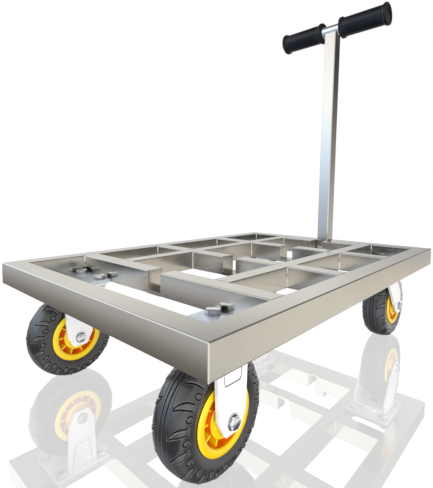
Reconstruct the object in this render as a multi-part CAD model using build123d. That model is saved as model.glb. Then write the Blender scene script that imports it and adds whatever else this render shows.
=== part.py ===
"""Flatbed platform truck: open grid deck of square tube, folding T-handle, four casters.

Millimetres, +Z up, floor at Z = 0.  +X is the right side, +Y points to the handle end.
The origin is on the floor below the middle of the whole outline.  The pieces are laid out
about the deck's middle and moved by ORIGIN_Y when they are saved, because the leaning
handle reaches past the far end.
"""
import os
from math import sin, cos, radians

from build123d import *

os.makedirs("parts", exist_ok=True)

# ---------------------------------------------------------------- driving dimensions
DECK_W = 700.0                  # deck width, X
DECK_L = 1000.0                 # deck length, Y
DECK_TOP = 275.0                # top face of the deck above the floor
TUBE_H = 50.0                   # height of every deck tube
RAIL_W = 46.0                   # width of the outer frame's tube
CROSS_W = 42.0                  # width of the cross members
LONG_W = 40.0                   # width of the inner longitudinals
WALL = 2.0                      # tube wall
TUBE_R = 2.0                    # outer corner radius of the tubes
CORNER_R = 2.4                  # upright edges at the deck's four corners
CROSS_Y = (-313.0, -67.0, 210.0, 412.0)   # near face of each cross member
LONG_X = 140.0                  # inner face of the inner longitudinals
SLOT = 23.0                     # half width of the handle slot
CAP_T = 2.0                     # closing plates on the ends beside the slot
TIE_T = 8.0                     # flat ties that join the two halves under the slot

EAR_T = 5.0                     # pivot plates on the far rail's inner ends
SEAT_T = 3.0                    # floor of the handle seat
STOP_Y = 495.1                  # front face of the handle's back stop
PIVOT = (473.0, 250.0)          # handle pivot, Y and Z
PIN_R = 6.0

HANDLE_W = 42.0                 # square handle tube
HANDLE_WALL = 2.5
HANDLE_LEN = 792.0              # pivot to the T-bar's axis
LEAN = 2.1                      # the upright handle leans back this far, degrees
TBAR_R = 19.0
COPE = 14.0                     # the tube's top is this far below the T-bar's axis
TBAR_HALF = 190.0
GRIP_R = 32.0
GRIP_FLANGE_R = 36.5
GRIP_IN = 34.0                  # inner end of each grip
GRIP_OUT = 197.0                # closed outer end of each grip

WHEEL_R = 100.0
TYRE_HALF = 34.0
RIM_R = 59.2                    # rim flange
RIM_HALF = 35.0
AXLE_R = 6.0
WHEEL_X = 240.0
NEAR_Y = -384.0                 # axle of the rigid casters
SWIVEL_Y = 355.0                # swivel axis of the far casters
TRAIL = 50.0                    # swivel axis to axle

SHEET_T = 8.0                   # welded mounting sheets
PLATE_T = 6.0                   # caster top plates
PLATE_X = 124.0
PLATE_Y = 135.0
BOLT_DX = 45.0                  # half the bolt spacing
BOLT_DY = 53.0
BOLT_R = 8.0                    # M16 plate bolts
BOLT_AF = 24.0
BOLT_HEAD_H = 8.0
BOLT_NUT_H = 9.5
HOLE_R = 8.6
AXLE_AF = 19.0                  # M12 axle bolts
AXLE_HEAD_H = 7.5
AXLE_NUT_H = 10.0
LEG_IN = 44.0                   # inner face of a fork leg, from the wheel's middle
LEG_T = 4.0
FLANGE_IN = 2.5                 # turned edge of a leg, measured inwards
EDGE_END = 10.0                 # the turned edges stop this far above the axle

RUN = 0.05                      # running clearance on a shaft

# ---------------------------------------------------------------- derived
BOTTOM = DECK_TOP - TUBE_H
HALF_W = DECK_W / 2
HALF_L = DECK_L / 2
IN_X = HALF_W - RAIL_W
IN_Y = HALF_L - RAIL_W
MID_Z = DECK_TOP - TUBE_H / 2
LONG_OUT = LONG_X + LONG_W
PLATE_LOW = BOTTOM - PLATE_T
AXLE_Z = WHEEL_R
LEG_OUT = LEG_IN + LEG_T
CROWN_TOP = 208.0               # top of the swivel fork
CROWN_T = 5.0
OUTLINE_END = PIVOT[0] + HANDLE_LEN * sin(radians(LEAN)) + GRIP_FLANGE_R
ORIGIN_Y = (OUTLINE_END - HALF_L) / 2


def save(node, *solids):
    """Write one node, of one or more separate solids, to its own STEP file."""
    placed = [Pos(0, -ORIGIN_Y, 0) * solid for solid in solids]
    whole = placed[0] if len(placed) == 1 else Compound(children=placed)
    whole.label = node
    export_step(whole, f"parts/{node}.step")


def box(x0, x1, y0, y1, z0, z1):
    """Axis-aligned box from its limits."""
    size = Box(x1 - x0, y1 - y0, z1 - z0)
    return Pos((x0 + x1) / 2, (y0 + y1) / 2, (z0 + z1) / 2) * size


def cyl_x(radius, x0, x1, y=0.0, z=0.0):
    """Cylinder along X between two X positions."""
    return Pos((x0 + x1) / 2, y, z) * Rot(0, 90, 0) * Cylinder(radius, abs(x1 - x0))


def cyl_z(radius, x, y, z0, z1):
    """Upright cylinder between two heights."""
    return Pos(x, y, (z0 + z1) / 2) * Cylinder(radius, z1 - z0)


def hex_z(across_flats, x, y, z0, z1):
    """Upright hexagonal prism."""
    outline = RegularPolygon(across_flats / 2, 6, major_radius=False)
    return Pos(x, y, z0) * extrude(outline, z1 - z0)


def hex_x(across_flats, x0, x1, y, z):
    """Hexagonal prism along X."""
    outline = RegularPolygon(across_flats / 2, 6, major_radius=False)
    return Pos(x0, y, z) * Rot(0, 90, 0) * extrude(outline, x1 - x0)


def tube_section(width, height, wall, corner):
    """Hollow rectangle with rounded corners."""
    outer = RectangleRounded(width, height, corner)
    inner = RectangleRounded(width - 2 * wall, height - 2 * wall, max(corner - wall, 0.6))
    return outer - inner


def tube_x(width, x0, x1, y):
    """Deck tube along X; y is the middle of its width."""
    plane = Plane(origin=(x0, y, MID_Z), x_dir=(0, 1, 0), z_dir=(1, 0, 0))
    return extrude(plane * tube_section(width, TUBE_H, WALL, TUBE_R), x1 - x0)


def tube_y(width, y0, y1, x):
    """Deck tube along Y; x is the middle of its width."""
    plane = Plane(origin=(x, y0, MID_Z), x_dir=(-1, 0, 0), z_dir=(0, 1, 0))
    return extrude(plane * tube_section(width, TUBE_H, WALL, TUBE_R), y1 - y0)


def plan_prism(points):
    """Upright prism with the given plan outline, through the whole deck."""
    outline = make_face(Polyline(*points, close=True))
    return Pos(0, 0, BOTTOM - 5) * extrude(outline, TUBE_H + 10)


def round_corner(piece, sx, sy):
    """The piece with the deck's upright edge at corner (sx, sy) rounded."""
    x, y = sx * (HALF_W - CORNER_R), sy * (HALF_L - CORNER_R)
    waste = box(min(x, sx * DECK_W), max(x, sx * DECK_W), min(y, sy * DECK_L), max(y, sy * DECK_L), 200, 300)
    return piece - (waste - cyl_z(CORNER_R, x, y, 190, 310))


def both_sides(shape):
    """A right-hand piece and its mirror image."""
    return shape, mirror(shape, Plane.YZ)


# ---------------------------------------------------------------- outer frame
near = tube_x(RAIL_W, -HALF_W, HALF_W, -HALF_L + RAIL_W / 2)
near_plan = plan_prism([(-HALF_W, -HALF_L), (HALF_W, -HALF_L), (IN_X, -IN_Y), (-IN_X, -IN_Y)])
near = near & near_plan
for sx in (-1, 1):
    near = round_corner(near, sx, -1)
save("rail_near", near)

side = tube_y(RAIL_W, -HALF_L, HALF_L, HALF_W - RAIL_W / 2)
side_plan = plan_prism([(HALF_W, -HALF_L), (HALF_W, HALF_L), (IN_X, IN_Y), (IN_X, -IN_Y)])
side = side & side_plan
for sy in (-1, 1):
    side = round_corner(side, 1, sy)
rail_right, rail_left = both_sides(side)
save("rail_right", rail_right)
save("rail_left", rail_left)

far = tube_x(RAIL_W, SLOT + EAR_T, HALF_W, HALF_L - RAIL_W / 2)
far_plan = plan_prism([(SLOT + EAR_T, HALF_L), (HALF_W, HALF_L), (IN_X, IN_Y), (SLOT + EAR_T, IN_Y)])
rail_far_right, rail_far_left = both_sides(round_corner(far & far_plan, 1, 1))
save("rail_far_right", rail_far_right)
save("rail_far_left", rail_far_left)

# ---------------------------------------------------------------- grid
long_y0 = CROSS_Y[0] + CROSS_W
long_right, long_left = both_sides(tube_y(LONG_W, long_y0, IN_Y, LONG_X + LONG_W / 2))
save("long_right", long_right)
save("long_left", long_left)

stub_x0 = SLOT + CAP_T
for number, y0 in enumerate(CROSS_Y, start=1):
    middle = y0 + CROSS_W / 2
    stub_x1 = IN_X if number == 1 else LONG_X
    right, left = both_sides(tube_x(CROSS_W, stub_x0, stub_x1, middle))
    save(f"cross{number}_inner_right" if number in (2, 3) else f"cross{number}_right", right)
    save(f"cross{number}_inner_left" if number in (2, 3) else f"cross{number}_left", left)
    if number in (2, 3):
        right, left = both_sides(tube_x(CROSS_W, LONG_OUT, IN_X, middle))
        save(f"cross{number}_outer_right", right)
        save(f"cross{number}_outer_left", left)

# closing plates on the cross members' ends beside the slot
caps = []
for y0 in CROSS_Y:
    cap_plane = Plane(origin=(SLOT, y0 + CROSS_W / 2, MID_Z), x_dir=(0, 1, 0), z_dir=(1, 0, 0))
    cap = extrude(cap_plane * RectangleRounded(CROSS_W, TUBE_H, TUBE_R), CAP_T)
    caps += both_sides(cap)
save("stub_caps", *caps)

# flat ties under the slot
ties = [box(-SLOT, SLOT, y0, y0 + CROSS_W, BOTTOM, BOTTOM + TIE_T) for y0 in CROSS_Y[:3]]
save("tie_plates", *ties)

# ---------------------------------------------------------------- handle seat and pivot
ear_plane = Plane(origin=(SLOT, HALF_L - RAIL_W / 2, MID_Z), x_dir=(0, 1, 0), z_dir=(1, 0, 0))
ear = extrude(ear_plane * RectangleRounded(RAIL_W, TUBE_H, TUBE_R), EAR_T)
ear -= cyl_x(PIN_R + 0.02, SLOT - 1, SLOT + EAR_T + 1, *PIVOT)
save("pivot_ears", *both_sides(ear))

seat_floor = box(-SLOT, SLOT, CROSS_Y[3], HALF_L, BOTTOM, BOTTOM + SEAT_T)
seat_back = box(-SLOT, SLOT, STOP_Y, HALF_L, BOTTOM, DECK_TOP)
save("handle_seat", seat_floor + seat_back)

pin_end = SLOT + EAR_T + 0.2
pin = cyl_x(PIN_R, -pin_end, pin_end, *PIVOT)
pin += cyl_x(PIN_R + 2.5, pin_end, pin_end + 2.5, *PIVOT)
pin += cyl_x(PIN_R + 2.5, -pin_end - 2.5, -pin_end, *PIVOT)
save("pivot_pin", pin)

# ---------------------------------------------------------------- handle, built upright about its pivot
half = HANDLE_W / 2
shaft_plane = Plane(origin=(0, 0, -half), x_dir=(1, 0, 0), z_dir=(0, 0, 1))
shaft_top = HANDLE_LEN - COPE
shaft = extrude(shaft_plane * tube_section(HANDLE_W, HANDLE_W, HANDLE_WALL, 4.0), shaft_top + half)
shaft -= cyl_x(TBAR_R + 0.15, -60, 60, 0, HANDLE_LEN)
heel = cyl_x(half, -half, half) + box(-half, half, -half, half, 0, HANDLE_LEN)
shaft &= heel
shaft -= cyl_x(PIN_R + 0.5, -60, 60)

block_half = half - HANDLE_WALL - 0.2
block_plane = Plane(origin=(0, 0, -half), x_dir=(1, 0, 0), z_dir=(0, 0, 1))
block = extrude(block_plane * RectangleRounded(2 * block_half, 2 * block_half, 2.5), 70 + half)
block &= cyl_x(half - 0.3, -60, 60) + box(-60, 60, -60, 60, 0, 80)
block -= cyl_x(PIN_R + RUN, -60, 60)

bar = cyl_x(TBAR_R, -TBAR_HALF, TBAR_HALF, 0, HANDLE_LEN)
bar -= cyl_x(TBAR_R - 2.0, -TBAR_HALF - 1, TBAR_HALF + 1, 0, HANDLE_LEN)

# grip: radius along its length, closed at the outer end
grip_profile = [
    (GRIP_IN, TBAR_R + 0.1), (GRIP_IN, GRIP_FLANGE_R - 2), (GRIP_IN + 2, GRIP_FLANGE_R),
    (GRIP_IN + 8, GRIP_FLANGE_R), (GRIP_IN + 12, GRIP_R + 2), (GRIP_IN + 16, GRIP_R),
    (GRIP_OUT - 16, GRIP_R), (GRIP_OUT - 12, GRIP_R + 2), (GRIP_OUT - 9, GRIP_FLANGE_R),
    (GRIP_OUT - 2, GRIP_FLANGE_R), (GRIP_OUT, GRIP_FLANGE_R - 3), (GRIP_OUT, 0),
    (TBAR_HALF + 0.2, 0), (TBAR_HALF + 0.2, TBAR_R + 0.1),
]
grip_face = make_face(Polyline(*[(x, r) for x, r in grip_profile], close=True))
grip_right = Pos(0, 0, HANDLE_LEN) * revolve(Rot(90, 0, 0) * grip_face, Axis.X)
grip_left = mirror(grip_right, Plane.YZ)

lean_back = Pos(0, *PIVOT) * Rot(-LEAN, 0, 0)
for node, shape in (
    ("handle_tube", shaft), ("pivot_block", block), ("t_bar", bar),
    ("grip_right", grip_right), ("grip_left", grip_left),
):
    save(node, lean_back * shape)

# ---------------------------------------------------------------- mounting sheets, bolts
near_sheet = box(LONG_OUT - 9, IN_X, -IN_Y, CROSS_Y[0], BOTTOM, BOTTOM + SHEET_T)
far_sheet = box(LONG_OUT, IN_X, SWIVEL_Y - 70, IN_Y, BOTTOM, BOTTOM + SHEET_T)


def bolt_points(y):
    """Centres of the four caster bolts round a right-hand caster."""
    return [(WHEEL_X + sx * BOLT_DX, y + sy * BOLT_DY) for sx in (-1, 1) for sy in (-1, 1)]


for x, y in bolt_points(NEAR_Y):
    near_sheet -= cyl_z(HOLE_R, x, y, BOTTOM - 1, BOTTOM + SHEET_T + 1)
for x, y in bolt_points(SWIVEL_Y):
    far_sheet -= cyl_z(HOLE_R, x, y, BOTTOM - 1, BOTTOM + SHEET_T + 1)
save("sheets_near", *both_sides(near_sheet))
save("sheets_far", *both_sides(far_sheet))

WASHER_T = 1.5
head_low = BOTTOM + SHEET_T + WASHER_T
bolts, washers, nuts = [], [], []
for x, y in bolt_points(NEAR_Y) + bolt_points(SWIVEL_Y):
    bolt = hex_z(BOLT_AF, x, y, head_low, head_low + BOLT_HEAD_H)
    bolt += cyl_z(BOLT_R, x, y, PLATE_LOW - BOLT_NUT_H - 0.4, head_low)
    washer = cyl_z(14.5, x, y, BOTTOM + SHEET_T, head_low)
    washer -= cyl_z(BOLT_R + 0.3, x, y, BOTTOM, head_low + 1)
    nut = hex_z(BOLT_AF, x, y, PLATE_LOW - BOLT_NUT_H, PLATE_LOW)
    nut -= cyl_z(BOLT_R + 0.03, x, y, PLATE_LOW - BOLT_NUT_H - 1, PLATE_LOW + 1)
    bolts += both_sides(bolt)
    washers += both_sides(washer)
    nuts += both_sides(nut)
save("caster_bolts", *bolts)
save("caster_washers", *washers)
save("caster_nuts", *nuts)


# ---------------------------------------------------------------- casters
def top_plate(y):
    """Caster top plate with four bolt holes."""
    plate = Pos(WHEEL_X, y, PLATE_LOW) * extrude(RectangleRounded(PLATE_X, PLATE_Y, 8), PLATE_T)
    for x, by in bolt_points(y):
        plate -= cyl_z(HOLE_R, x, by, PLATE_LOW - 1, BOTTOM + 1)
    return plate


def fork_legs(outline, y):
    """Two legs with edges turned inwards, from a side outline of (Y, Z) points about the axis."""
    legs = []
    for sign in (-1, 1):
        start = LEG_IN if sign > 0 else -LEG_OUT
        plane = Plane(origin=(WHEEL_X + start, y, 0), x_dir=(0, 1, 0), z_dir=(1, 0, 0))
        face = make_face(Polyline(*outline, close=True))
        low = [v for v in face.vertices() if v.Y < AXLE_Z + 12]
        face = fillet(low, 9)
        leg = extrude(plane * face, LEG_T)
        edge_start = LEG_IN - FLANGE_IN if sign > 0 else -LEG_IN
        edge_plane = Plane(origin=(WHEEL_X + edge_start, y, 0), x_dir=(0, 1, 0), z_dir=(1, 0, 0))
        rim = face - offset(face, -3.0, kind=Kind.INTERSECTION)
        edge = extrude(edge_plane * rim, FLANGE_IN)
        edge &= Pos(0, 0, AXLE_Z + EDGE_END + 500) * Box(2000, 2000, 1000)
        legs.append(leg + edge)
    return legs


rigid_outline = [(-36, PLATE_LOW), (36, PLATE_LOW), (31, 108), (17, 81), (-17, 81), (-31, 108)]
fork = top_plate(NEAR_Y)
for leg in fork_legs(rigid_outline, NEAR_Y):
    fork += leg
# shallow pressed panel on the outside of each leg
panel = make_face(Polyline((-25, 208), (25, 208), (17.5, 160), (-17.5, 160), close=True))
for start in (LEG_OUT - 1.2, -LEG_OUT - 0.8):
    panel_plane = Plane(origin=(WHEEL_X + start, NEAR_Y, 0), x_dir=(0, 1, 0), z_dir=(1, 0, 0))
    fork -= extrude(panel_plane * panel, 2.0)
fork -= cyl_x(AXLE_R + 0.3, WHEEL_X - 80, WHEEL_X + 80, NEAR_Y, AXLE_Z)
fork_near_right = fork
save("fork_near_right", fork_near_right)
save("fork_near_left", Pos(-2 * WHEEL_X, 0, 0) * fork_near_right)

# swivel casters: plate with raceway, kingpin, raked fork
race = Pos(WHEEL_X, SWIVEL_Y, CROWN_TOP + 0.4) * Cone(
    34, 38, PLATE_LOW - CROWN_TOP - 0.4, align=(Align.CENTER, Align.CENTER, Align.MIN)
)
PIN_KING = 7.0
swivel_plate = top_plate(SWIVEL_Y) + race
swivel_plate -= cyl_z(PIN_KING + 0.02, WHEEL_X, SWIVEL_Y, 190, BOTTOM + 1)
save("swivel_plate_right", swivel_plate)
save("swivel_plate_left", Pos(-2 * WHEEL_X, 0, 0) * swivel_plate)

crown_low = CROWN_TOP - CROWN_T
kingpin = cyl_z(PIN_KING, WHEEL_X, SWIVEL_Y, crown_low - 0.3, BOTTOM)
kingpin += cyl_z(12.0, WHEEL_X, SWIVEL_Y, crown_low - 3.5, crown_low - 0.3)
save("kingpin_right", kingpin)
save("kingpin_left", Pos(-2 * WHEEL_X, 0, 0) * kingpin)

raked_outline = [
    (-40, CROWN_TOP), (-43, 182), (24, 88), (38, 79), (58, 79),
    (76, 103), (70, 155), (42, 182), (38, CROWN_TOP),
]
swivel_fork = box(WHEEL_X - LEG_OUT, WHEEL_X + LEG_OUT, SWIVEL_Y - 40, SWIVEL_Y + 38, crown_low, CROWN_TOP)
for leg in fork_legs(raked_outline, SWIVEL_Y):
    swivel_fork += leg
swivel_fork -= cyl_z(PIN_KING + RUN, WHEEL_X, SWIVEL_Y, 190, BOTTOM)
swivel_fork -= cyl_x(AXLE_R + 0.3, WHEEL_X - 80, WHEEL_X + 80, SWIVEL_Y + TRAIL, AXLE_Z)
save("swivel_fork_right", swivel_fork)
save("swivel_fork_left", Pos(-2 * WHEEL_X, 0, 0) * swivel_fork)


# ---------------------------------------------------------------- axles
def axle_bolt(x, y):
    """Hex bolt through a fork, head on the +X side."""
    bolt = cyl_x(AXLE_R, x - LEG_OUT - AXLE_NUT_H - 2.5, x + LEG_OUT, y, AXLE_Z)
    return bolt + hex_x(AXLE_AF, x + LEG_OUT, x + LEG_OUT + AXLE_HEAD_H, y, AXLE_Z)


def axle_nut(x, y):
    """Nut on the -X side."""
    nut = hex_x(AXLE_AF, x - LEG_OUT - AXLE_NUT_H, x - LEG_OUT, y, AXLE_Z)
    return nut - cyl_x(AXLE_R + 0.03, x - LEG_OUT - AXLE_NUT_H - 1, x - LEG_OUT + 1, y, AXLE_Z)


save("axle_bolts_near", *[axle_bolt(x, NEAR_Y) for x in (-WHEEL_X, WHEEL_X)])
save("axle_nuts_near", *[axle_nut(x, NEAR_Y) for x in (-WHEEL_X, WHEEL_X)])
for name, x in (("left", -WHEEL_X), ("right", WHEEL_X)):
    save(f"axle_bolt_far_{name}", axle_bolt(x, SWIVEL_Y + TRAIL))
    save(f"axle_nut_far_{name}", axle_nut(x, SWIVEL_Y + TRAIL))

# ---------------------------------------------------------------- wheels, built about their own centre
BEAD_R = 57.0
side_curve = [(30.5, 60.5), (33.2, 68), (TYRE_HALF, 77), (32.6, 87), (28, 94), (19, 98.3), (9, WHEEL_R)]
right_wall = Spline(*side_curve)
left_wall = Spline(*[(-x, r) for x, r in side_curve])
tyre_edges = [
    right_wall, left_wall, Line((9, WHEEL_R), (-9, WHEEL_R)),
    Line((30.5, 60.5), (30.5, BEAD_R)), Line((30.5, BEAD_R), (-30.5, BEAD_R)),
    Line((-30.5, BEAD_R), (-30.5, 60.5)),
]
tyre_face = make_face(tyre_edges)
for groove_x in (-6.5, 6.5):
    tyre_face -= Pos(groove_x, WHEEL_R - 1.0) * Rectangle(2.6, 4.0)
tyre = revolve(Rot(90, 0, 0) * tyre_face, Axis.X)

BARREL_R = BEAD_R - 0.1
RING_IN = 45.0
HUB_R = 33.0
rim_profile = [
    (-RIM_HALF, RING_IN), (-RIM_HALF, RIM_R), (-31, RIM_R), (-31, BARREL_R),
    (31, BARREL_R), (31, RIM_R), (RIM_HALF, RIM_R), (RIM_HALF, RING_IN),
    (8, RING_IN - 3), (8, HUB_R), (RIM_HALF - 2, HUB_R - 1), (RIM_HALF - 2, 24),
    (40.5, 22), (40.5, 16.02), (-40.5, 16.02), (-40.5, 22),
    (-RIM_HALF + 2, 24), (-RIM_HALF + 2, HUB_R - 1), (-8, HUB_R), (-8, RING_IN - 3),
]
rim_face = make_face(Polyline(*rim_profile, close=True))
rim = revolve(Rot(90, 0, 0) * rim_face, Axis.X)
rib = box(-27, 27, -1.75, 1.75, HUB_R - 2, RING_IN + 2)
for index in range(10):
    rim += Rot(360 / 10 * index, 0, 0) * rib

bearing_pair = []
for sign in (-1, 1):
    bearing = cyl_x(16.0, sign * 30.5, sign * 40.5) + cyl_x(9.0, sign * 40.5, sign * 43.6)
    bearing_pair.append(bearing - cyl_x(AXLE_R + RUN, -60, 60))

for end, y in (("near", NEAR_Y), ("far", SWIVEL_Y + TRAIL)):
    for name, x in (("left", -WHEEL_X), ("right", WHEEL_X)):
        place = Pos(x, y, AXLE_Z)
        save(f"tyre_{end}_{name}", place * tyre)
        save(f"rim_{end}_{name}", place * rim)
        save(f"bearings_{end}_{name}", *[place * b for b in bearing_pair])
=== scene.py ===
"""Looks of the flatbed platform truck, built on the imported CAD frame. Metres, +Z up."""
import math

import bmesh
import bpy
from mathutils import Matrix, Vector


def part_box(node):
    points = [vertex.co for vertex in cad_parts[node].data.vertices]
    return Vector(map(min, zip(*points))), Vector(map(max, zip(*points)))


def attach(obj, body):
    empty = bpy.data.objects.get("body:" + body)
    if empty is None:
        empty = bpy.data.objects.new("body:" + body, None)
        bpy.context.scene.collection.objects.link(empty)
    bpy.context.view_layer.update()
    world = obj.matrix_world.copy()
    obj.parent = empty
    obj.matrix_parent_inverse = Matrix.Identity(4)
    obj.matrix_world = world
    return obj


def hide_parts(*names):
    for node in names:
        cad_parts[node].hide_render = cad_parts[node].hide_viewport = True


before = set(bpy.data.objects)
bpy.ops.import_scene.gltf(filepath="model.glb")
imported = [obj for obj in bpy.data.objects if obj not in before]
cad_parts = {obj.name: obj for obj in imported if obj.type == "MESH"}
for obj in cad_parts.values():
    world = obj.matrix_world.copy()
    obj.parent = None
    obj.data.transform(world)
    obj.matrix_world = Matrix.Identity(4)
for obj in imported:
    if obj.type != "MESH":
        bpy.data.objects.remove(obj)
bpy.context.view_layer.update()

MM = 0.001


# ------------------------------------------------------------------ helpers
def middle(node):
    """Centre of a CAD node's box."""
    low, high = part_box(node)
    return (low + high) / 2


def add_mesh(name, verts, faces, material, angle=40.0):
    """New object from vertices and faces, smooth except across sharp edges."""
    mesh = bpy.data.meshes.new(name)
    mesh.from_pydata([tuple(v) for v in verts], [], faces)
    mesh.validate()
    bm = bmesh.new()
    bm.from_mesh(mesh)
    bmesh.ops.recalc_face_normals(bm, faces=bm.faces)
    bm.to_mesh(mesh)
    bm.free()
    obj = bpy.data.objects.new(name, mesh)
    bpy.context.collection.objects.link(obj)
    mesh.materials.append(material)
    smooth_by_angle(mesh, angle)
    return obj


def smooth_by_angle(mesh, angle):
    """Smooth shading with sharp edges above an angle in degrees."""
    for poly in mesh.polygons:
        poly.use_smooth = True
    mesh.set_sharp_from_angle(angle=math.radians(angle))


def copy_of(obj, name, offset):
    """The same mesh again, moved."""
    twin = bpy.data.objects.new(name, obj.data)
    bpy.context.collection.objects.link(twin)
    twin.location = obj.location + Vector(offset)
    return twin


def ring_points(profile, steps):
    """Vertices and faces of a closed profile of (x, radius) turned about the X axis."""
    count = len(profile)
    verts = []
    for i in range(steps):
        turn = 2 * math.pi * i / steps
        c, s = math.cos(turn), math.sin(turn)
        verts += [(x, r * s, r * c) for x, r in profile]
    faces = []
    for i in range(steps):
        a, b = i * count, ((i + 1) % steps) * count
        for j in range(count):
            k = (j + 1) % count
            faces.append((a + j, b + j, b + k, a + k))
    return verts, faces


def rounded(profile, radius, steps):
    """A closed polygon of (x, r) with its corners rounded."""
    out = []
    count = len(profile)
    for i in range(count):
        p0, p1, p2 = (Vector(profile[(i + d) % count]) for d in (-1, 0, 1))
        a, b = (p0 - p1), (p2 - p1)
        cut = min(radius, a.length * 0.48, b.length * 0.48)
        if cut < 1e-6:
            out.append(tuple(p1))
            continue
        start, end = p1 + a.normalized() * cut, p1 + b.normalized() * cut
        for k in range(steps + 1):
            t = k / steps
            q = start * (1 - t) ** 2 + p1 * 2 * t * (1 - t) + end * t ** 2
            out.append((q.x, q.y))
    return out


def lathe(name, profile, material, at, steps, angle):
    """Closed (x, radius) profile in millimetres turned about X, centred at a point."""
    verts, faces = ring_points([(x * MM, r * MM) for x, r in profile], steps)
    obj = add_mesh(name, verts, faces, material, angle)
    obj.location = at
    return obj


def hex_head(across, height, chamfer):
    """Verts and faces of a chamfered hexagon on the XY plane, millimetres, rising along Z."""
    apothem = across / 2
    steps = 48
    verts, faces = [], []
    levels = ((0.0, 0.0), (height - chamfer * 1.1, 0.0), (height - chamfer * 0.5, 0.55),
              (height, chamfer * 1.6))
    for z, cut in levels:
        for i in range(steps):
            turn = 2 * math.pi * i / steps
            sector = (turn % (math.pi / 3)) - math.pi / 6
            flat = apothem / math.cos(sector)
            limit = apothem / math.cos(math.pi / 6) - cut
            r = min(flat, limit)
            verts.append((r * math.cos(turn), r * math.sin(turn), z))
    for level in range(len(levels) - 1):
        a, b = level * steps, (level + 1) * steps
        for i in range(steps):
            j = (i + 1) % steps
            faces.append((a + i, a + j, b + j, b + i))
    faces.append(tuple(range(steps))[::-1])
    faces.append(tuple(range((len(levels) - 1) * steps, len(levels) * steps)))
    return verts, faces


def cylinder_part(radius, z0, z1, chamfer, steps=40):
    """Verts and faces of a chamfered cylinder along Z, millimetres."""
    verts, faces = [], []
    rings = ((radius - chamfer, z0), (radius, z0 + chamfer),
             (radius, z1 - chamfer), (radius - chamfer, z1))
    for r, z in rings:
        for i in range(steps):
            turn = 2 * math.pi * i / steps
            verts.append((r * math.cos(turn), r * math.sin(turn), z))
    for level in range(3):
        a, b = level * steps, (level + 1) * steps
        for i in range(steps):
            j = (i + 1) % steps
            faces.append((a + i, a + j, b + j, b + i))
    faces.append(tuple(range(steps))[::-1])
    faces.append(tuple(range(3 * steps, 4 * steps)))
    return verts, faces


def assemble(name, parts, material, angle=30.0):
    """One object from several (verts, faces, matrix) parts given in millimetres."""
    verts, faces = [], []
    for part_verts, part_faces, matrix in parts:
        start = len(verts)
        verts += [matrix @ (Vector(v) * MM) for v in part_verts]
        faces += [tuple(start + i for i in face) for face in part_faces]
    return add_mesh(name, verts, faces, material, angle)


BOX_FACES = [(0, 1, 3, 2), (4, 6, 7, 5), (0, 4, 5, 1), (2, 3, 7, 6), (0, 2, 6, 4), (1, 5, 7, 3)]


def box_part(x, y, z, dx, dy, dz):
    """Verts and faces of a box by centre and size."""
    verts = [(x + sx * dx / 2, y + sy * dy / 2, z + sz * dz / 2)
             for sx in (-1, 1) for sy in (-1, 1) for sz in (-1, 1)]
    return verts, BOX_FACES


def bar_between(start, end, width, depth_axis, depth):
    """Verts and faces of a flat bar from start to end, millimetres.

    depth is its size along the axis depth_axis (0, 1 or 2), and width is across both.
    """
    start, end = Vector(start), Vector(end)
    along = (end - start).normalized()
    out = Vector([1.0 if axis == depth_axis else 0.0 for axis in range(3)])
    across = along.cross(out) * (width / 2)
    half = out * (depth / 2)
    verts = [p + sa * across + sb * half for p in (start, end) for sa in (-1, 1) for sb in (-1, 1)]
    return verts, BOX_FACES


def bevel(obj, width):
    """Rounded edges, width in millimetres."""
    modifier = obj.modifiers.new("bevel", "BEVEL")
    modifier.width = width * MM
    modifier.segments = 3
    modifier.limit_method = "ANGLE"


# ------------------------------------------------------------------ materials
def new_material(name):
    """Material with a Principled shader; returns (material, nodes, links, shader)."""
    material = bpy.data.materials.new(name)
    material.use_nodes = True
    nodes, links = material.node_tree.nodes, material.node_tree.links
    return material, nodes, links, nodes["Principled BSDF"]


def noise(nodes, links, scale, detail=3.0, stretch=(1, 1, 1), rough=0.55):
    """Noise texture in the object's own coordinates."""
    coords = nodes.new("ShaderNodeTexCoord")
    mapping = nodes.new("ShaderNodeMapping")
    mapping.inputs["Scale"].default_value = stretch
    texture = nodes.new("ShaderNodeTexNoise")
    texture.inputs["Scale"].default_value = scale
    texture.inputs["Detail"].default_value = detail
    texture.inputs["Roughness"].default_value = rough
    links.new(coords.outputs["Object"], mapping.inputs["Vector"])
    links.new(mapping.outputs["Vector"], texture.inputs["Vector"])
    return texture.outputs["Fac"]


def ramp(nodes, links, value, low, high, start=0.3, end=0.7):
    """Colour ramp between two colours."""
    node = nodes.new("ShaderNodeValToRGB")
    node.color_ramp.elements[0].position = start
    node.color_ramp.elements[1].position = end
    node.color_ramp.elements[0].color = (*low, 1)
    node.color_ramp.elements[1].color = (*high, 1)
    links.new(value, node.inputs["Fac"])
    return node.outputs["Color"]


def remap(nodes, links, value, low, high, start=0.25, end=0.75):
    """Value mapped to a range."""
    node = nodes.new("ShaderNodeMapRange")
    node.inputs["From Min"].default_value = start
    node.inputs["From Max"].default_value = end
    node.inputs["To Min"].default_value = low
    node.inputs["To Max"].default_value = high
    links.new(value, node.inputs["Value"])
    return node.outputs["Result"]


def blend(nodes, links, factor, a, b):
    """Mix of two colours; a and b are sockets or plain colours."""
    node = nodes.new("ShaderNodeMix")
    node.data_type = "RGBA"
    links.new(factor, node.inputs["Factor"])
    for socket, value in (("A", a), ("B", b)):
        if isinstance(value, tuple):
            node.inputs[socket].default_value = value
        else:
            links.new(value, node.inputs[socket])
    return node.outputs["Result"]


def bump(nodes, links, shader, height, strength, distance):
    """Bump on the shader."""
    node = nodes.new("ShaderNodeBump")
    node.inputs["Strength"].default_value = strength
    node.inputs["Distance"].default_value = distance
    links.new(height, node.inputs["Height"])
    links.new(node.outputs["Normal"], shader.inputs["Normal"])


SHADE_TINT = (0.5, 0.5, 0.52)


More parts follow.
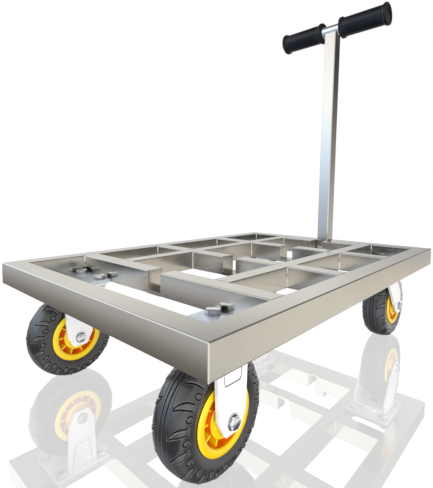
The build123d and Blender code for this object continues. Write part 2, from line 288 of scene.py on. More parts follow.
def contact_shade(nodes, links, colour, reach, level):
    """Colour darkened to a level of SHADE_TINT where other surfaces are within reach (metres)."""
    near = nodes.new("ShaderNodeAmbientOcclusion")
    near.inputs["Distance"].default_value = reach
    open_air = remap(nodes, links, near.outputs["AO"], 0, 1, 0.35, 0.95)
    return blend(nodes, links, open_air, (*(c * level for c in SHADE_TINT), 1), colour)


def brushed(name, along, light, dark, rough, strength, painted_shade=None):
    """Brushed metal with its grain along one axis.

    The last argument gives the (reach, level) of the painted shade darkened into the colour beside other
    parts.
    """
    material, nodes, links, shader = new_material(name)
    stretch = {"x": (1, 60, 60), "y": (60, 1, 60), "z": (60, 60, 1), "none": (9, 9, 9)}[along]
    grain = noise(nodes, links, 14.0, 4.0, stretch)
    cloud = noise(nodes, links, 5.0, 2.0)
    colour = ramp(nodes, links, cloud, dark, light)
    # painted shade: the colour darkens where other parts are close
    if painted_shade:
        colour = contact_shade(nodes, links, colour, *painted_shade)
    links.new(colour, shader.inputs["Base Color"])
    shader.inputs["Metallic"].default_value = 1.0
    links.new(remap(nodes, links, grain, *rough), shader.inputs["Roughness"])
    bump(nodes, links, shader, grain, strength, 0.0006)
    return material


STEEL_LIGHT, STEEL_DARK = (0.66, 0.635, 0.585), (0.60, 0.575, 0.53)
STEEL = {axis: brushed(f"frame_steel_{axis}", axis, STEEL_LIGHT, STEEL_DARK, (0.15, 0.21), 0.02)
         for axis in "xyz"}
BAR_STEEL = brushed("bar_steel", "x", (0.86, 0.87, 0.88), (0.80, 0.81, 0.83), (0.14, 0.22), 0.02)
# sheets and fasteners get painted shade beside other parts
SHEET = brushed("sheet_steel", "none", (0.78, 0.86, 0.97), (0.70, 0.78, 0.90), (0.26, 0.36), 0.02,
                painted_shade=(0.010, 0.6))
FASTENER = brushed("fastener", "none", (0.92, 0.94, 0.97), (0.82, 0.84, 0.88), (0.16, 0.26), 0.03,
                   painted_shade=(0.012, 0.5))
WELD = brushed("weld", "none", (0.92, 0.90, 0.86), (0.74, 0.72, 0.68), (0.20, 0.34), 0.10)


def plated(name):
    """Bright satin zinc plating on pressed sheet."""
    material, nodes, links, shader = new_material(name)
    grain = noise(nodes, links, 60.0, 3.0)
    cloud = noise(nodes, links, 7.0, 2.0)
    colour = ramp(nodes, links, cloud, (0.86, 0.87, 0.89), (0.95, 0.955, 0.965))
    links.new(colour, shader.inputs["Base Color"])
    shader.inputs["Metallic"].default_value = 0.25
    links.new(remap(nodes, links, grain, 0.26, 0.36), shader.inputs["Roughness"])
    bump(nodes, links, shader, grain, 0.02, 0.0005)
    return material


ZINC = plated("zinc")


def paint_panel_shadow(name):
    """Painted shadow: a dark strip along the edge of a pressed panel, standing where its edge would cast
    shade.
    """
    material, nodes, links, shader = new_material(name)
    cloud = noise(nodes, links, 30.0, 2.0)
    colour = ramp(nodes, links, cloud, (0.10, 0.10, 0.11), (0.16, 0.16, 0.17))
    links.new(colour, shader.inputs["Base Color"])
    shader.inputs["Roughness"].default_value = 0.5
    return material


PANEL_SHADOW = paint_panel_shadow("panel_shadow_line")


# painted light on the tyre tread: lighter tones are highlights on raised bars and convex edges, near
# black is shade in the grooves
BAR_HIGHLIGHT_TONE, EDGE_HIGHLIGHT_TONE = (0.040, 0.038, 0.037, 1), (0.10, 0.10, 0.105, 1)
GROOVE_SHADE_TONE = (0.001, 0.001, 0.001, 1)


def rubber(name, light, dark, rough, grain_scale, strength, coat, specular, paint_tread_light=False):
    """Moulded rubber; its last flag paints light and shade into the tread: lighter raised bars and
    convex edges as painted highlights, near-black grooves as painted shade.
    """
    material, nodes, links, shader = new_material(name)
    grain = noise(nodes, links, grain_scale, 3.0)
    cloud = noise(nodes, links, 9.0, 3.0)
    colour = ramp(nodes, links, cloud, dark, light)
    if paint_tread_light:
        # painted highlight on the raised bars, then on convex edges; painted shade in the grooves
        stands_out = nodes.new("ShaderNodeAttribute")
        stands_out.attribute_name = "raised"
        colour = blend(nodes, links, stands_out.outputs["Fac"], colour, BAR_HIGHLIGHT_TONE)
        shape = nodes.new("ShaderNodeNewGeometry").outputs["Pointiness"]
        edge_highlight = remap(nodes, links, shape, 0, 1, 0.515, 0.56)
        groove_shade = remap(nodes, links, shape, 1, 0, 0.44, 0.485)
        colour = blend(nodes, links, edge_highlight, colour, EDGE_HIGHLIGHT_TONE)
        colour = blend(nodes, links, groove_shade, colour, GROOVE_SHADE_TONE)
    links.new(colour, shader.inputs["Base Color"])
    links.new(remap(nodes, links, grain, *rough), shader.inputs["Roughness"])
    shader.inputs["Specular IOR Level"].default_value = specular
    shader.inputs["Coat Weight"].default_value = coat
    shader.inputs["Coat Roughness"].default_value = 0.24
    bump(nodes, links, shader, grain, strength, 0.0004)
    return material


TYRE = rubber("tyre_rubber", (0.017, 0.017, 0.019), (0.010, 0.010, 0.012), (0.26, 0.34),
              grain_scale=420.0, strength=0.04, coat=0.9, specular=0.6, paint_tread_light=True)
GRIP = rubber("grip_rubber", (0.004, 0.006, 0.010), (0.002, 0.003, 0.006), (0.20, 0.28),
              grain_scale=600.0, strength=0.03, coat=0.0, specular=0.32)


def moulded(name, light, dark):
    """Glossy moulded plastic."""
    material, nodes, links, shader = new_material(name)
    grain = noise(nodes, links, 260.0, 3.0)
    cloud = noise(nodes, links, 14.0, 2.0)
    links.new(ramp(nodes, links, cloud, dark, light), shader.inputs["Base Color"])
    links.new(remap(nodes, links, grain, 0.22, 0.34), shader.inputs["Roughness"])
    shader.inputs["Coat Weight"].default_value = 0.7
    shader.inputs["Coat Roughness"].default_value = 0.06
    bump(nodes, links, shader, grain, 0.01, 0.0003)
    return material


YELLOW = moulded("rim_yellow", (0.80, 0.58, 0.0), (0.74, 0.50, 0.0))
ORANGE = moulded("rim_orange", (0.80, 0.15, 0.003), (0.66, 0.08, 0.002))


# ------------------------------------------------------------------ CAD nodes keep their shape
TUBES_X = ("rail_near", "rail_far_left", "rail_far_right", "cross", "stub_caps")
for name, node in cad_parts.items():
    if name.startswith(TUBES_X) or name in ("handle_seat", "tie_plates"):
        material = STEEL["x"]
    elif name.startswith(("rail_", "long_")):
        material = STEEL["y"]
    elif name.startswith("handle_") or name == "pivot_block":
        material = STEEL["z"]
    elif name.startswith("sheets_"):
        material = SHEET
    elif name.startswith(("fork_near", "swivel_")):
        material = ZINC
    elif name == "t_bar":
        material = BAR_STEEL
    elif name.startswith("rim_"):
        material = YELLOW
    elif name.startswith("tyre_"):
        material = TYRE
    elif name.startswith("grip_"):
        material = GRIP
    else:
        material = FASTENER
    node.data.materials.clear()
    node.data.materials.append(material)
    node.visible_glossy = name not in ("handle_tube", "t_bar")

# ------------------------------------------------------------------ tyres, in millimetres
TYRE_STEPS = 720
LUGS = 16                         # bars on each side of the tread
SKIN_X, SKIN_R = 33.9, 99.9       # the skin stays inside the CAD tyre
BEAD_X, BEAD_R = 30.5, 57.0
GROOVES = ((4.0, 1.3, 2.4), (10.5, 0.8, 1.0))    # place from the middle, width, depth
BAR_FROM, BAR_TO = 15.0, 44.0     # reach of the long bars across the skin from the middle
BAR_BEND = 12.0                   # how far a bar's tip is swept back
BAR_HALF, BAR_TIP_HALF = 4.6, 0.6
HIGH = 0.8                        # how far the bars and lozenges stand out
LOZENGE_AT = 43.5
LOZENGE_ACROSS, LOZENGE_ROUND = 5.0, 4.3
BAR_ARC, LOZENGE_ARC = 95.0, 90.0    # radii that turn an angle into a length round the tyre


def tyre_outline():
    """(x, r) points across the outside of the tyre from bead to bead, millimetres."""
    half = [(BEAD_X, 58.5), (31.6, 62), (32.8, 67), (33.6, 72), (33.9, 77), (33.4, 82), (32.2, 86.5),
            (30.0, 90.5), (27.0, 93.8), (23.0, 96.2), (18.0, 98.0), (12.5, 99.2), (7.0, 99.8),
            (0.0, 100.0)]
    left = [(-x, r) for x, r in half]
    corners = left + half[::-1][1:]
    # points at even distances along a Catmull-Rom curve
    pts = []
    for i in range(len(corners) - 1):
        p = [Vector(corners[max(0, min(len(corners) - 1, i + d))]) for d in (-1, 0, 1, 2)]
        slope = p[2] - p[0]
        curve = 2 * p[0] - 5 * p[1] + 4 * p[2] - p[3]
        twist = 3 * p[1] - p[0] - 3 * p[2] + p[3]
        steps = max(2, round((p[2] - p[1]).length / 1.15))
        for k in range(steps):
            t = k / steps
            pts.append(0.5 * ((2 * p[1]) + slope * t + curve * t * t + twist * t ** 3))
    pts.append(Vector(corners[-1]))
    return pts


def soft(value, edge0, edge1):
    """Smooth step."""
    t = max(0.0, min(1.0, (value - edge0) / (edge1 - edge0)))
    return t * t * (3 - 2 * t)


def tread_depth(across, turn):
    """How far the skin is cut (+) or raised (-), at a distance from the middle and an angle."""
    side = 1 if across > 0 else -1
    d = abs(across)
    cut = 0.0
    for line, width, deep in GROOVES:
        cut = max(cut, deep * (1 - soft(abs(d - line), width * 0.5, width * 1.3)))
    if not 12 < d < 54:
        return cut
    pitch = 2 * math.pi / LUGS
    phase = (turn * side + (0.0 if side > 0 else 0.5 * pitch)) / pitch
    # long crescent bar from the crown to the shoulder, pointed and swept back at the crown
    reach = (d - BAR_FROM) / (BAR_TO - BAR_FROM)
    inside = max(0.0, min(1.0, reach))
    bend = -BAR_BEND * (1 - inside) ** 2.4
    off = (phase % 1.0 - 0.5) * pitch * BAR_ARC - bend
    half = BAR_TIP_HALF + (BAR_HALF - BAR_TIP_HALF) * min(1.0, inside * 1.9) ** 0.75
    gap = max(abs(off) - half, d - BAR_TO, BAR_FROM - d)
    raised = HIGH * (1 - soft(gap, -1.0, -0.1))
    cut = max(cut, 2.2 * (1 - soft(abs(gap - 0.9), 0.3, 1.2)))
    # short lozenge between the bars
    off = ((phase + 0.5) % 1.0 - 0.5) * pitch * LOZENGE_ARC
    gap = (math.hypot((d - LOZENGE_AT) / LOZENGE_ACROSS, off / LOZENGE_ROUND) - 1) * 4.5
    raised = max(raised, HIGH * (1 - soft(gap, -1.0, -0.1)))
    cut = max(cut, 2.0 * (1 - soft(abs(gap - 0.8), 0.3, 1.1)))
    return cut - raised


def tyre_mesh(name, at):
    """Tyre with cut tread, plus its hidden inner surface."""
    pts = tyre_outline()
    lengths = [0.0]
    for a, b in zip(pts, pts[1:]):
        lengths.append(lengths[-1] + (b - a).length)
    mid = lengths[-1] / 2
    normals = []
    for i in range(len(pts)):
        t = pts[min(i + 1, len(pts) - 1)] - pts[max(i - 1, 0)]
        normals.append(Vector((-t.y, t.x)).normalized())
    inner = [Vector((BEAD_X, BEAD_R)), Vector((-BEAD_X, BEAD_R))]
    count = len(pts) + len(inner)
    verts, faces, heights = [], [], []
    for i in range(TYRE_STEPS):
        turn = 2 * math.pi * i / TYRE_STEPS
        c, s = math.cos(turn), math.sin(turn)
        for k, p in enumerate(pts):
            cut = tread_depth(lengths[k] - mid, turn)
            heights.append(cut)
            q = p - normals[k] * cut
            q = Vector((max(-SKIN_X, min(SKIN_X, q.x)), min(SKIN_R, q.y)))
            verts.append((q.x * MM, q.y * s * MM, q.y * c * MM))
        verts += [(q.x * MM, q.y * s * MM, q.y * c * MM) for q in inner]
        heights += [0.0] * len(inner)
    for i in range(TYRE_STEPS):
        a, b = i * count, ((i + 1) % TYRE_STEPS) * count
        for j in range(count):
            k = (j + 1) % count
            faces.append((a + j, b + j, b + k, a + k))
    obj = add_mesh(name, verts, faces, TYRE, 50)
    # how far each point is raised; the tyre material turns it into a painted highlight on the bars
    raised = obj.data.attributes.new("raised", "FLOAT", "POINT")
    raised.data.foreach_set("value", [max(0.0, min(1.0, -h / HIGH)) for h in heights])
    obj.location = at
    return obj


# ------------------------------------------------------------------ rims, in millimetres
RIBS = 10
RIB_SIZE, RIB_AT = (15.0, 3.6, 15.0), (19.0, 0, 38.7)
RECESS_X, RECESS_R = 31.8, (31.5, 46)    # faces within these are orange
# half of the rim's section: the flange from its tyre side inwards, then the recess and the hub
RIM_FLANGE = [(31, 56.9), (31, 58.4), (32, 59.1), (33.8, 57.2), (34.9, 54), (35, 50), (34.2, 46.6),
              (32.6, 45.0)]
RIM_HUB = [(9, 42.5), (8, 41), (8, 34), (10, 32.8), (31.5, 32), (33, 31), (33, 24), (40, 22),
           (40.4, 21.5), (40.4, 16.2)]


def rim_parts(name, at):
    """Yellow rim with an orange recess, ribs and hub."""
    half = RIM_FLANGE + RIM_HUB
    other = [(-x, r) for x, r in reversed(half)]
    start = len(RIM_HUB)
    outline = other[start:] + half + other[:start]
    body = lathe(name, rounded(outline, 1.2, 3), YELLOW, at, 128, 45)
    body.data.materials.append(ORANGE)
    for poly in body.data.polygons:
        c = poly.center
        r = math.hypot(c.y, c.z) / MM
        if abs(c.x) / MM < RECESS_X and RECESS_R[0] < r < RECESS_R[1]:
            poly.material_index = 1
    ribs = []
    for i in range(RIBS):
        turn = Matrix.Rotation(2 * math.pi * (i + 0.5) / RIBS, 4, "X")
        for side in (-1, 1):
            ribs.append((*box_part(side * RIB_AT[0], *RIB_AT[1:], *RIB_SIZE), turn))
    rib_obj = assemble(name + "_ribs", ribs, YELLOW)
    rib_obj.location = at
    bevel(rib_obj, 0.8)
    return body, rib_obj


WHEELS = [f"{end}_{side}" for end in ("near", "far") for side in ("left", "right")]
first = {}
for wheel in WHEELS:
    at = middle(f"tyre_{wheel}")
    if not first:
        tyre = tyre_mesh(f"tyre_{wheel}_mesh", at)
        rim, ribs = rim_parts(f"rim_{wheel}_mesh", at)
        first.update(tyre=tyre, rim=rim, ribs=ribs, at=at.copy())
    else:
        move = at - first["at"]
        tyre = copy_of(first["tyre"], f"tyre_{wheel}_mesh", move)
        rim = copy_of(first["rim"], f"rim_{wheel}_mesh", move)
        ribs = copy_of(first["ribs"], f"rim_{wheel}_mesh_ribs", move)
        bevel(ribs, 0.8)
    body = f"wheel_{wheel}"
    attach(tyre, body)
    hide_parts(f"tyre_{wheel}")
    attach(rim, body)
    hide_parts(f"rim_{wheel}")
    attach(ribs, body)


# ------------------------------------------------------------------ hex bolts and nuts, in millimetres
BOLT_FLATS, BOLT_SHANK_R = 23.9, 7.95
WASHER_HOLE_R, WASHER_R, WASHER_T = 8.3, 14.45, 1.5
BOLT_TURN = 17                    # degrees from each bolt to the next
AXLE_FLATS, AXLE_R = 18.9, 5.95
AXLE_HEAD, AXLE_NUT = 7.4, 9.9    # heights
AXLE_WASHER = ((-0.45, 1.2), (6.1, 12.8))    # faces along the axle, then inner and outer radius
LEG_FACE = 48.5                   # outside of a fork leg, from the wheel's middle
AXLE_REACH = 97.0                 # from one leg's outside to the other's
FLAT = Matrix.Rotation(math.radians(-90), 4, "Y")    # turns a ring made about X to lie about Z


def upright(x, y, z):
    """Matrix that puts a part at a point given in metres."""
    return Matrix.Translation(Vector((x, y, z)))


def washer(low, high, hole, outer, corner):
    """Verts and faces of a washer about the X axis, from its faces and radii."""
    section = [(low, hole), (low, outer), (high, outer), (high, hole)]
    return ring_points(rounded(section, corner, 2), 48)


def bolt_centres():
    """(x, y) of the caster bolts, read from the washers' separate rings."""
    found = []
    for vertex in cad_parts["caster_washers"].data.vertices:
        for centre in found:
            if (Vector(vertex.co.xy) - centre[0]).length < 0.035:
                centre[1].append(vertex.co.xy.copy())
                break
        else:
            found.append((Vector(vertex.co.xy), [vertex.co.xy.copy()]))
    centres = []
    for _, points in found:
        xs, ys = [p.x for p in points], [p.y for p in points]
        centres.append(((min(xs) + max(xs)) / 2, (min(ys) + max(ys)) / 2))
    return centres


low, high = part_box("caster_bolts")
washer_low, washer_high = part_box("caster_washers")
nut_low, nut_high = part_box("caster_nuts")
heads, rings, nuts = [], [], []
for i, (x, y) in enumerate(bolt_centres()):
    spin = Matrix.Rotation(math.radians(BOLT_TURN * i), 4, "Z")
    head = hex_head(BOLT_FLATS, (high.z - washer_high.z) / MM, 1.8)
    shank = cylinder_part(BOLT_SHANK_R, 0, (washer_low.z - low.z) / MM, 0.7)
    nut = hex_head(BOLT_FLATS, (nut_high.z - nut_low.z) / MM, 1.2)
    heads.append((*head, upright(x, y, washer_high.z) @ spin))
    heads.append((*shank, upright(x, y, low.z)))
    ring = washer(0, WASHER_T, WASHER_HOLE_R, WASHER_R, 0.35)
    rings.append((*ring, upright(x, y, washer_low.z) @ FLAT))
    flip = Matrix.Rotation(math.pi, 4, "X")
    nuts.append((*nut, upright(x, y, nut_high.z) @ flip))
for name, parts, node in (("bolt_heads", heads, "caster_bolts"),
                          ("bolt_washers", rings, "caster_washers"),
                          ("bolt_nuts", nuts, "caster_nuts")):
    piece = assemble(name, parts, FASTENER)
    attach(piece, "frame")
    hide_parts(node)


def axle(name, node_bolts, node_nuts, body, sides):
    """Axle bolt heads, washers and nuts through forks."""
    parts, nut_parts = [], []
    for side in sides:
        at = middle(f"tyre_{side}")
        for sign in (-1, 1):
            turn = Matrix.Rotation(sign * math.pi / 2, 4, "Y")
            face = Matrix.Translation(at + Vector((sign * LEG_FACE * MM, 0, 0))) @ turn
            spin = Matrix.Rotation(0.35, 4, "Z")
            if sign > 0:
                parts.append((*hex_head(AXLE_FLATS, AXLE_HEAD, 1.4), face @ spin))
                parts.append((*cylinder_part(AXLE_R, -AXLE_REACH, 0, 0.5), face))
            else:
                nut_parts.append((*hex_head(AXLE_FLATS, AXLE_NUT, 1.4), face @ spin))
                parts.append((*cylinder_part(AXLE_R, 9, 12.4, 0.8), face))
            (near, far), (hole, outer) = AXLE_WASHER
            parts.append((*washer(near, far, hole, outer, 0.4), face @ FLAT))
    bolt = assemble(name + "_bolt", parts, FASTENER)
    nut = assemble(name + "_nut", nut_parts, FASTENER)
    for piece, node in ((bolt, node_bolts), (nut, node_nuts)):
        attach(piece, body)
        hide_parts(node)


axle("axle_near", "axle_bolts_near", "axle_nuts_near", "frame", ("near_left", "near_right"))
for side in ("left", "right"):
    axle(f"axle_far_{side}", f"axle_bolt_far_{side}", f"axle_nut_far_{side}", f"swivel_{side}",
         (f"far_{side}",))


# ------------------------------------------------------------------ welds and tube ends
TUBES = {name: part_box(name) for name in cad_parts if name.startswith(("rail_", "long_", "cross"))}
TOUCHING = 3e-4                   # metres between faces that are welded together


def weld_corners():
    """(x, y) of each inside corner where one deck tube's end meets another's side, metres."""
    found = {}

    def note(x, y):
        found[(round(x, 4), round(y, 4))] = (x, y)

    for name, (a_low, a_high) in TUBES.items():
        for other, (b_low, b_high) in TUBES.items():
            for axis in (0, 1):
                across = 1 - axis
                inside = (a_low[across] > b_low[across] - 1e-4
                          and a_high[across] < b_high[across] + 1e-4)
                for a_side, b_side in ((a_low, b_high), (a_high, b_low)):
                    if other == name or not inside or abs(a_side[axis] - b_side[axis]) > TOUCHING:
                        continue
                    for edge in (a_low[across], a_high[across]):
                        note(*((a_side[axis], edge) if axis == 0 else (edge, a_side[axis])))
    inner_x = TUBES["rail_right"][0].x
    for x in (-inner_x, inner_x):
        for y in (TUBES["rail_near"][1].y, TUBES["rail_far_right"][0].y):
            note(x, y)
    return found.values()


deck_low, deck_high = TUBES["rail_right"]
depth = (deck_high.z - deck_low.z) / MM
bead = cylinder_part(1.7, 1.5, depth - 1.6, 0.5, 12)
welds = assemble("weld_beads", [(*bead, upright(x, y, deck_low.z)) for x, y in weld_corners()], WELD, 60)
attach(welds, "frame")

# rims of the tube ends, a little proud of the plates that close them
CAP_T = 2.0                       # thickness of those plates, mm
parts = []
slot_half = TUBES["cross1_right"][0].x / MM - CAP_T
for name, (low, high) in TUBES.items():
    if not name.startswith("cross") or "outer" in name:
        continue
    side = 1 if name.endswith("right") else -1
    x = side * (slot_half - 0.2)
    y0, y1, z0, z1 = low.y / MM, high.y / MM, low.z / MM, high.z / MM
    for start, end in (((x, y0 + 1.2, z0 + 0.4), (x, y0 + 1.2, z1 - 0.4)),
                       ((x, y1 - 1.2, z0 + 0.4), (x, y1 - 1.2, z1 - 0.4)),
                       ((x, y0 + 0.4, z0 + 1.2), (x, y1 - 0.4, z0 + 1.2)),
                       ((x, y0 + 0.4, z1 - 1.2), (x, y1 - 0.4, z1 - 1.2))):
        parts.append((*bar_between(start, end, 2.0, 0, 0.6), Matrix.Identity(4)))
cap_rims = assemble("tube_end_rims", parts, WELD)
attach(cap_rims, "frame")


# ------------------------------------------------------------------ fork edges and painted panel shadows, in millimetres
TRAIL = 50.0                      # swivel axis to axle
PANEL = [(-25, 214), (-18.6, 164), (-17.2, 161), (-14.5, 160), (14.5, 160), (17.2, 161),
         (18.6, 164), (25, 214)]  # (y from the axle, height) of the rigid forks' pressed panel, along which dark strips are painted as its shadow
REAR_EDGE = [(31, 204), (35, 185), (62, 152), (67, 114)]    # (y from the swivel axis, height)


def edge_bars(wheel, outline, shift, face, width, depth):
    """Flat bars along a (y, z) outline on the outside of both fork legs at a wheel."""
    at = middle(f"tyre_{wheel}") / MM
    bars = []
    for sign in (-1, 1):
        x = at.x + sign * face
        for (y0, z0), (y1, z1) in zip(outline, outline[1:]):
            start, end = (x, at.y + shift + y0, z0), (x, at.y + shift + y1, z1)
            bars.append((*bar_between(start, end, width, 0, depth), Matrix.Identity(4)))
    return bars


for side in ("left", "right"):
    # a raised strip for the leg's rear flange; its darker frame steel, in place of the fork's zinc, is
    # painted shade
    strip = assemble(f"swivel_fork_shaded_flange_{side}",
                     edge_bars(f"far_{side}", REAR_EDGE, -TRAIL, 48.4, 12.0, 1.2), STEEL["z"])
    bevel(strip, 0.4)
    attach(strip, f"swivel_{side}")
# painted shadow lines along the rigid forks' panel
shadow_lines = [bar for wheel in ("near_left", "near_right")
         for bar in edge_bars(wheel, PANEL, 0, 47.9, 1.1, 0.7)]
panel_shadow_strips = assemble("fork_panel_shadows", shadow_lines, PANEL_SHADOW)
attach(panel_shadow_strips, "frame")


# ------------------------------------------------------------------ grips, in millimetres
def grip_outline():
    """(x, r) of the right grip from its inner end to the closed outer end."""
    start, end = 34.2, 196.8
    body, flange = 31.9, 36.3
    bore, floor_x = 19.2, 192
    pts = [(start, bore), (start, flange - 2.5), (start + 1, flange - 0.6), (start + 3, flange),
           (start + 8, flange), (start + 9.6, flange - 0.8), (start + 10.2, flange - 2.5),
           (start + 10.6, body + 1.0), (start + 12, body + 0.2), (start + 17, body),
           (start + 19, body), (start + 19.6, body - 0.7), (start + 20.8, body - 0.7),
           (start + 21.4, body)]
    pts += [(end - 21.4, body), (end - 20.8, body - 0.7), (end - 19.6, body - 0.7), (end - 19, body),
            (end - 17, body), (end - 12, body + 0.2), (end - 10.6, body + 1.0),
            (end - 10.2, flange - 2.5), (end - 9.6, flange - 0.8), (end - 8, flange),
            (end - 3, flange), (end - 1, flange - 0.7), (end, flange - 2.2), (end, flange - 4.5),
            (end - 1.6, flange - 5.5), (end - 1.6, 0.4)]
    pts += [(floor_x, 0.4), (floor_x, bore)]
    return pts


bar_at = middle("t_bar")
outline = rounded(grip_outline(), 0.5, 2)
for side, sign in (("left", -1), ("right", 1)):
    grip = lathe(f"grip_{side}_mesh", [(sign * x, r) for x, r in outline], GRIP, bar_at, 96, 35)
    grip.visible_glossy = False
    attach(grip, "handle")
    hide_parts(f"grip_{side}")


# ------------------------------------------------------------------ floor
FLOOR_GLOW, FLOOR_GLOSS = 0.64, 0.38


def glossy_floor():
    """White floor that mirrors the object faintly; a true mirror, so the world can tell its rays apart.

    Seen from below it is clear, so the underside can be looked at.
    """
    material = bpy.data.materials.new("floor_white")
    material.use_nodes = True
    nodes, links = material.node_tree.nodes, material.node_tree.links
    nodes.remove(nodes["Principled BSDF"])
    glow = nodes.new("ShaderNodeEmission")
    glow.inputs["Color"].default_value = (1, 1, 1, 1)
    glow.inputs["Strength"].default_value = FLOOR_GLOW
    gloss = nodes.new("ShaderNodeBsdfGlossy")
    gloss.inputs["Color"].default_value = (FLOOR_GLOSS, FLOOR_GLOSS, FLOOR_GLOSS, 1)
    gloss.inputs["Roughness"].default_value = 0.0
    add = nodes.new("ShaderNodeAddShader")
    links.new(glow.outputs[0], add.inputs[0])
    links.new(gloss.outputs[0], add.inputs[1])
    below = nodes.new("ShaderNodeMixShader")
    links.new(nodes.new("ShaderNodeNewGeometry").outputs["Backfacing"], below.inputs["Fac"])
    links.new(add.outputs[0], below.inputs[1])
    links.new(nodes.new("ShaderNodeBsdfTransparent").outputs[0], below.inputs[2])
    links.new(below.outputs[0], nodes["Material Output"].inputs["Surface"])
    return material


bpy.ops.mesh.primitive_plane_add(size=60, location=(0, 0, 0))
floor = bpy.context.object
floor.name = "floor"
floor.data.materials.append(glossy_floor())
floor.visible_glossy = False
floor.visible_diffuse = False
floor.visible_shadow = False


# ------------------------------------------------------------------ surroundings
GAIN = 2.0                        # the skies may be up to this bright
# what the metal reflects, as (height of the direction from -1 to 1, colour)
FRONT_SKY = [
    (-1.0, (0.20, 0.20, 0.20)), (-0.30, (0.52, 0.59, 0.70)), (-0.12, (0.48, 0.56, 0.68)),
    (-0.03, (0.50, 0.61, 0.76)), (0.06, (0.68, 0.82, 1.05)), (0.13, (0.95, 1.18, 1.68)),
    (0.21, (1.35, 1.62, 1.80)), (0.29, (1.75, 1.80, 1.86)), (0.5, (1.3, 1.3, 1.3)),
    (0.75, (0.9, 0.9, 0.9)), (0.85, (0.2, 0.2, 0.22)), (1.0, (0.12, 0.12, 0.14)),
]
CORNER_SKY = [
    (-1.0, (0.5, 0.5, 0.5)), (-0.4, (1.4, 1.4, 1.4)), (0.0, (1.3, 1.3, 1.3)), (0.15, (1.0, 1.0, 1.0)),
    (0.7, (0.9, 0.9, 0.9)), (0.85, (0.2, 0.2, 0.22)), (1.0, (0.12, 0.12, 0.14)),
]
BACK_SKY = [
    (-1.0, (0.20, 0.20, 0.20)), (-0.20, (0.50, 0.48, 0.44)), (0.02, (0.58, 0.58, 0.60)),
    (0.12, (0.62, 0.65, 0.72)), (0.16, (0.82, 0.80, 0.76)), (0.20, (0.98, 0.96, 0.92)),
    (0.29, (1.04, 1.04, 1.02)), (0.345, (0.74, 0.75, 0.74)), (0.40, (0.40, 0.40, 0.40)),
    (0.60, (0.30, 0.30, 0.30)), (1.0, (0.12, 0.12, 0.14)),
]
RIGHT_SKY = [
    (-1.0, (0.08, 0.08, 0.08)), (-0.55, (0.12, 0.12, 0.12)), (-0.47, (0.88, 0.86, 0.82)),
    (-0.28, (0.90, 0.87, 0.79)), (-0.20, (0.82, 0.77, 0.68)), (-0.14, (0.58, 0.56, 0.56)),
    (-0.07, (0.62, 0.61, 0.62)), (0.02, (0.48, 0.47, 0.47)), (0.11, (0.34, 0.32, 0.32)),
    (0.26, (0.14, 0.13, 0.12)), (0.34, (0.06, 0.05, 0.05)), (0.55, (0.30, 0.30, 0.30)),
    (1.0, (0.12, 0.12, 0.14)),
]


def sky_ramp(nodes, links, height, stops):
    """Colour by height of the direction, from (height, colour) stops."""
    node = nodes.new("ShaderNodeValToRGB")
    elements = node.color_ramp.elements
    while len(elements) < len(stops):
        elements.new(0.5)
    for element, (level, colour) in zip(elements, stops):
        element.position = (level + 1) / 2
        element.color = (*(c / GAIN for c in colour), 1)
    links.new(height, node.inputs["Fac"])
    return node.outputs["Color"]


def studio():
    """Soft studio surroundings: white for the camera, graded skies for what the metal reflects."""
    world = bpy.context.scene.world or bpy.data.worlds.new("World")
    bpy.context.scene.world = world
    world.use_nodes = True
    nodes, links = world.node_tree.nodes, world.node_tree.links
    coords = nodes.new("ShaderNodeTexCoord")
    split = nodes.new("ShaderNodeSeparateXYZ")
    links.new(coords.outputs["Generated"], split.inputs[0])
    height = remap(nodes, links, split.outputs["Z"], 0, 1, -1, 1)
    to_right = remap(nodes, links, split.outputs["X"], 0, 1, -0.15, 0.15)
    to_back = remap(nodes, links, split.outputs["Y"], 0, 1, -0.15, 0.25)
    front = blend(nodes, links, to_right, sky_ramp(nodes, links, height, FRONT_SKY),
                  sky_ramp(nodes, links, height, CORNER_SKY))
    past_corner = remap(nodes, links, split.outputs["X"], 0, 1, -0.45, 0.05)
    back = blend(nodes, links, past_corner, sky_ramp(nodes, links, height, BACK_SKY),
                 sky_ramp(nodes, links, height, RIGHT_SKY))
    around = blend(nodes, links, to_back, front, back)
    seen = nodes.new("ShaderNodeLightPath")
    white = (1 / GAIN, 1 / GAIN, 1 / GAIN, 1)
    mirrored = blend(nodes, links, seen.outputs["Is Singular Ray"], around, white)
    background = nodes["Background"]
    background.inputs["Strength"].default_value = GAIN
    shown = blend(nodes, links, seen.outputs["Is Camera Ray"], mirrored, white)
    links.new(shown, background.inputs["Color"])


studio()


CARD_X, CARD_Y, CARD_Z = (-2.2, 0.5), (-1.4, -0.56), -0.001
CARD_GRADES = ((0.0, (0.62, 0.72, 0.88)), (0.38, (0.74, 0.70, 0.66)),
               (0.66, (0.20, 0.18, 0.16)), (1.0, (0.10, 0.09, 0.08)))


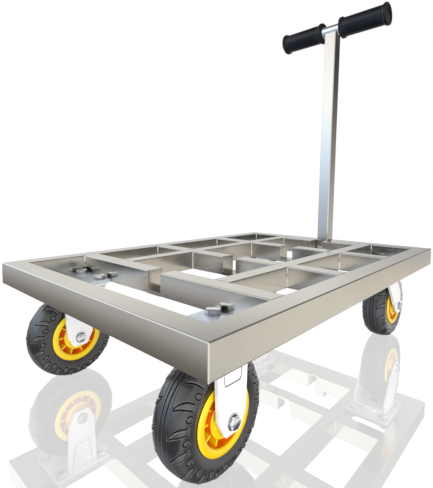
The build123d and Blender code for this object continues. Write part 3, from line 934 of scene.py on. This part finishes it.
def floor_card():
    """Graded card just under the floor before the near end, for the fade down the metal's face.

    Only the metal sees it.
    """
    material = bpy.data.materials.new("card_grade")
    material.use_nodes = True
    nodes, links = material.node_tree.nodes, material.node_tree.links
    nodes.remove(nodes["Principled BSDF"])
    coords = nodes.new("ShaderNodeTexCoord")
    split = nodes.new("ShaderNodeSeparateXYZ")
    links.new(coords.outputs["Object"], split.inputs[0])
    along = remap(nodes, links, split.outputs["Y"], 0, 1, -1.10, -0.75)
    glow = nodes.new("ShaderNodeEmission")
    fade = nodes.new("ShaderNodeValToRGB")
    elements = fade.color_ramp.elements
    while len(elements) < len(CARD_GRADES):
        elements.new(0.5)
    for element, (position, colour) in zip(elements, CARD_GRADES):
        element.position = position
        element.color = (*colour, 1)
    links.new(along, fade.inputs["Fac"])
    links.new(fade.outputs["Color"], glow.inputs["Color"])
    links.new(glow.outputs[0], nodes["Material Output"].inputs["Surface"])
    (x0, x1), (y0, y1) = CARD_X, CARD_Y
    corners = [(x0, y0, CARD_Z), (x1, y0, CARD_Z), (x1, y1, CARD_Z), (x0, y1, CARD_Z)]
    card = add_mesh("floor_card", corners, [(0, 1, 2, 3)], material)
    card.visible_camera = False
    card.visible_diffuse = False
    card.visible_shadow = False
    card.visible_transmission = False


floor_card()


# ------------------------------------------------------------------ light and camera
def area(name, at, target, size, power):
    """Soft white area light that points at a target and isn't mirrored."""
    light = bpy.data.lights.new(name, "AREA")
    light.shape = "RECTANGLE"
    light.size, light.size_y = size
    light.energy = power
    lamp = bpy.data.objects.new(name, light)
    bpy.context.collection.objects.link(lamp)
    lamp.location = at
    lamp.rotation_euler = (Vector(target) - Vector(at)).to_track_quat("-Z", "Y").to_euler()
    lamp.visible_glossy = False


area("key", (2.4, -1.5, 0.9), (0, 0, 0.2), (1.6, 1.2), 60)

camera_data = bpy.data.cameras.new("camera")
camera_data.lens = 27.06
camera_data.shift_x = -0.0143
camera_data.shift_y = -0.0564
camera = bpy.data.objects.new("camera", camera_data)
bpy.context.collection.objects.link(camera)
camera.location = (0.6349, -0.8097, 0.4439)
camera.rotation_euler = (math.radians(86.44), math.radians(-0.30), math.radians(42.21))
bpy.context.scene.camera = camera

bpy.context.scene.view_settings.view_transform = "Standard"
